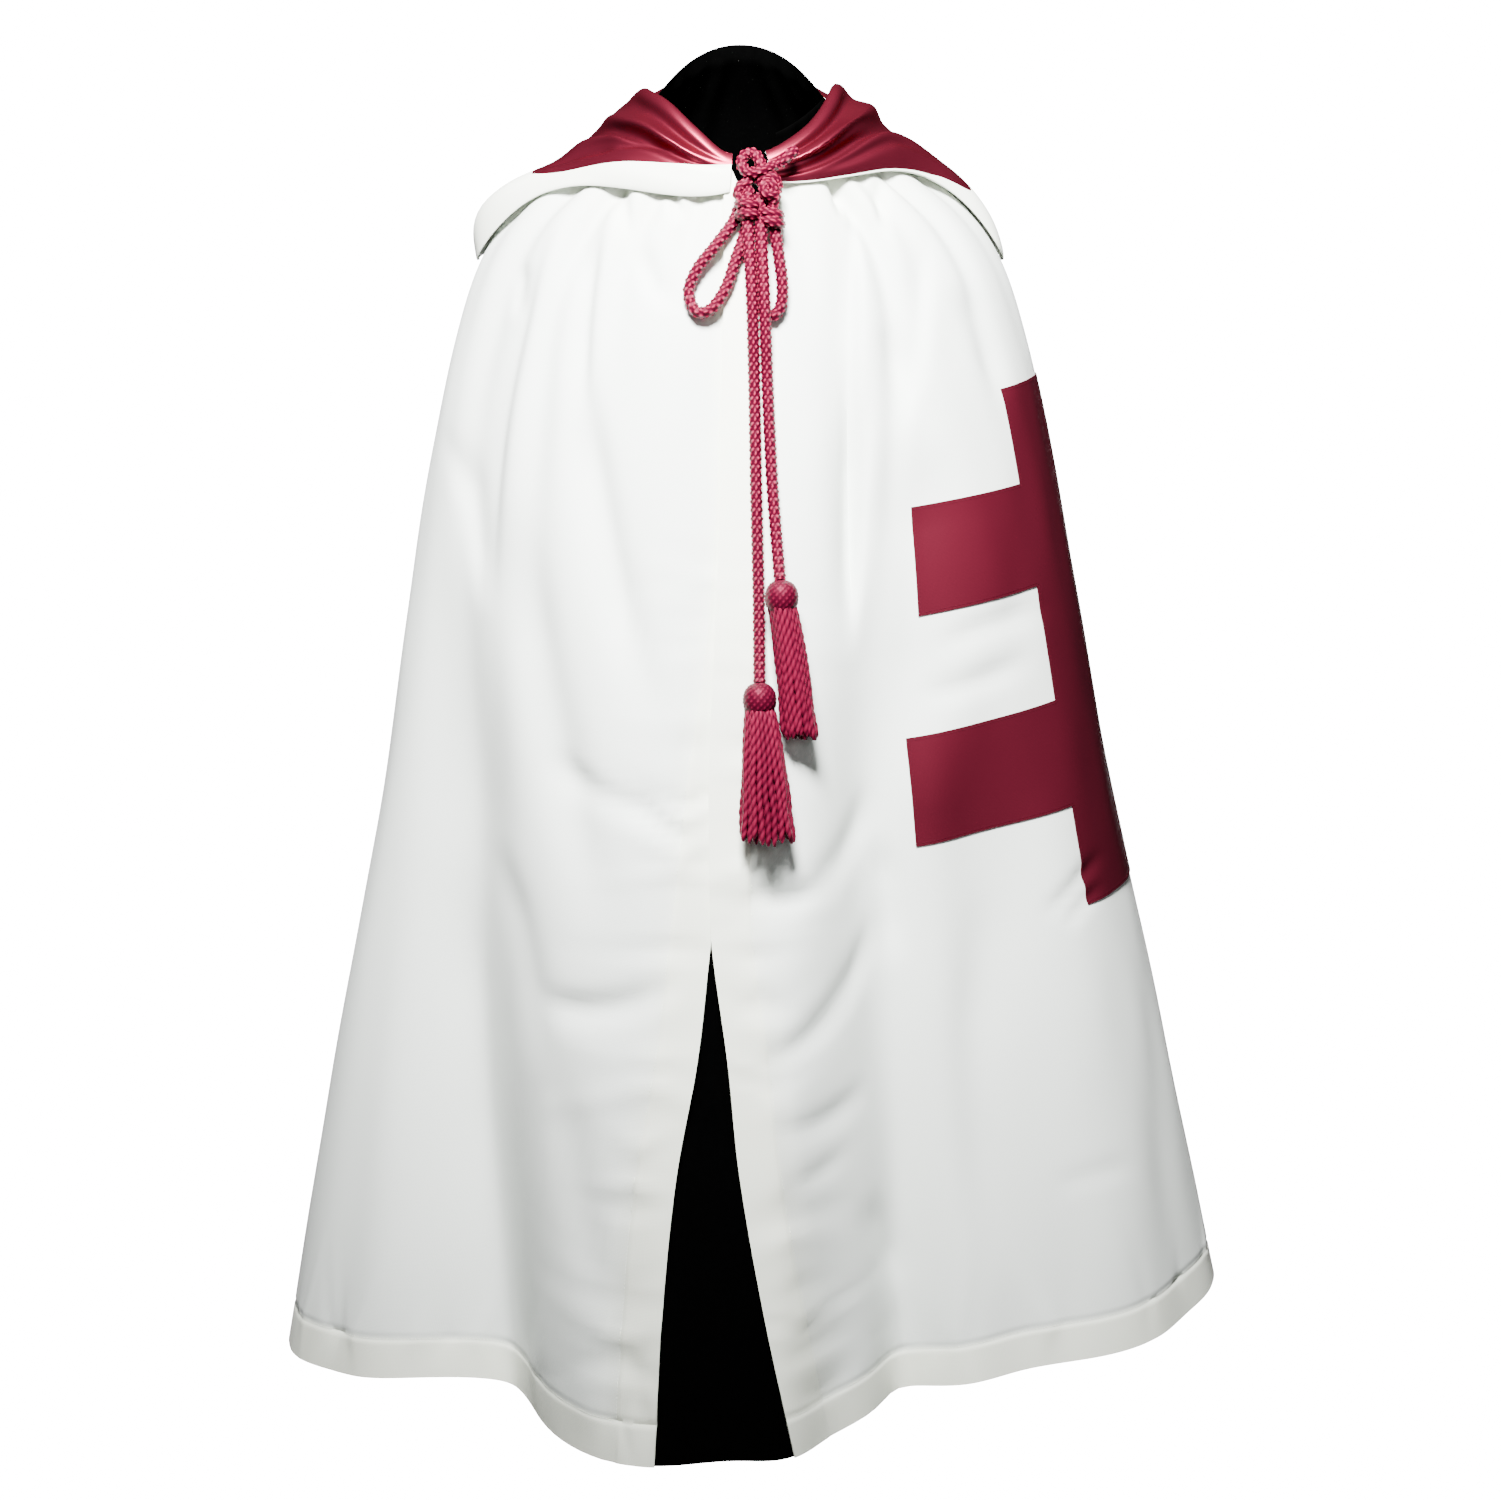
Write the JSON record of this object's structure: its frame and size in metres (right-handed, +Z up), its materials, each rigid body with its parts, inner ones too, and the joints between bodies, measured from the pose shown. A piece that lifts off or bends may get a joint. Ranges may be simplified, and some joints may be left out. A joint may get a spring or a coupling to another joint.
{
  "type": "templar mantle",
  "caption": "Hollow floor-sweeping cream mantle gathered at the neck, with a lowered burgundy-lined hood, a double-barred cross on one side and a tied neck cord with tassels.",
  "frame": {"origin": "middle of the neck opening at the height of the shoulders, where the wearer's neck and shoulders hold the mantle", "axes": "+Z up, -Y the front of the mantle, +X the wearer's left side, which carries the cross"},
  "size_m": [0.8389, 0.5952, 1.1768],
  "materials": {
    "cream_cloth": "plain-woven cloth, matt with a faint sheen",
    "black_cloth": "matt black cloth",
    "burgundy_satin": "satin",
    "cross_cloth": "matt burgundy cloth",
    "cord": "braided rayon, slightly shiny"
  },
  "bodies": {
    "root": {"body_left": "cream_cloth", "body_right": "cream_cloth", "neck_facing_left": "black_cloth", "neck_facing_right": "black_cloth", "underlap": "black_cloth", "hood_outer": "cream_cloth", "hood_lining": "burgundy_satin", "hood_facing": "cream_cloth", "cross_top": "cross_cloth", "cross_bar_upper": "cross_cloth", "cross_middle": "cross_cloth", "cross_bar_lower": "cross_cloth", "cross_foot": "cross_cloth", "cord_neck": "cord", "knot": "cord", "loop_right": "cord", "loop_left": "cord", "tail_right": "cord", "tail_left": "cord", "tassel_right": "cord", "tassel_left": "cord"}
  },
  "joints": []
}
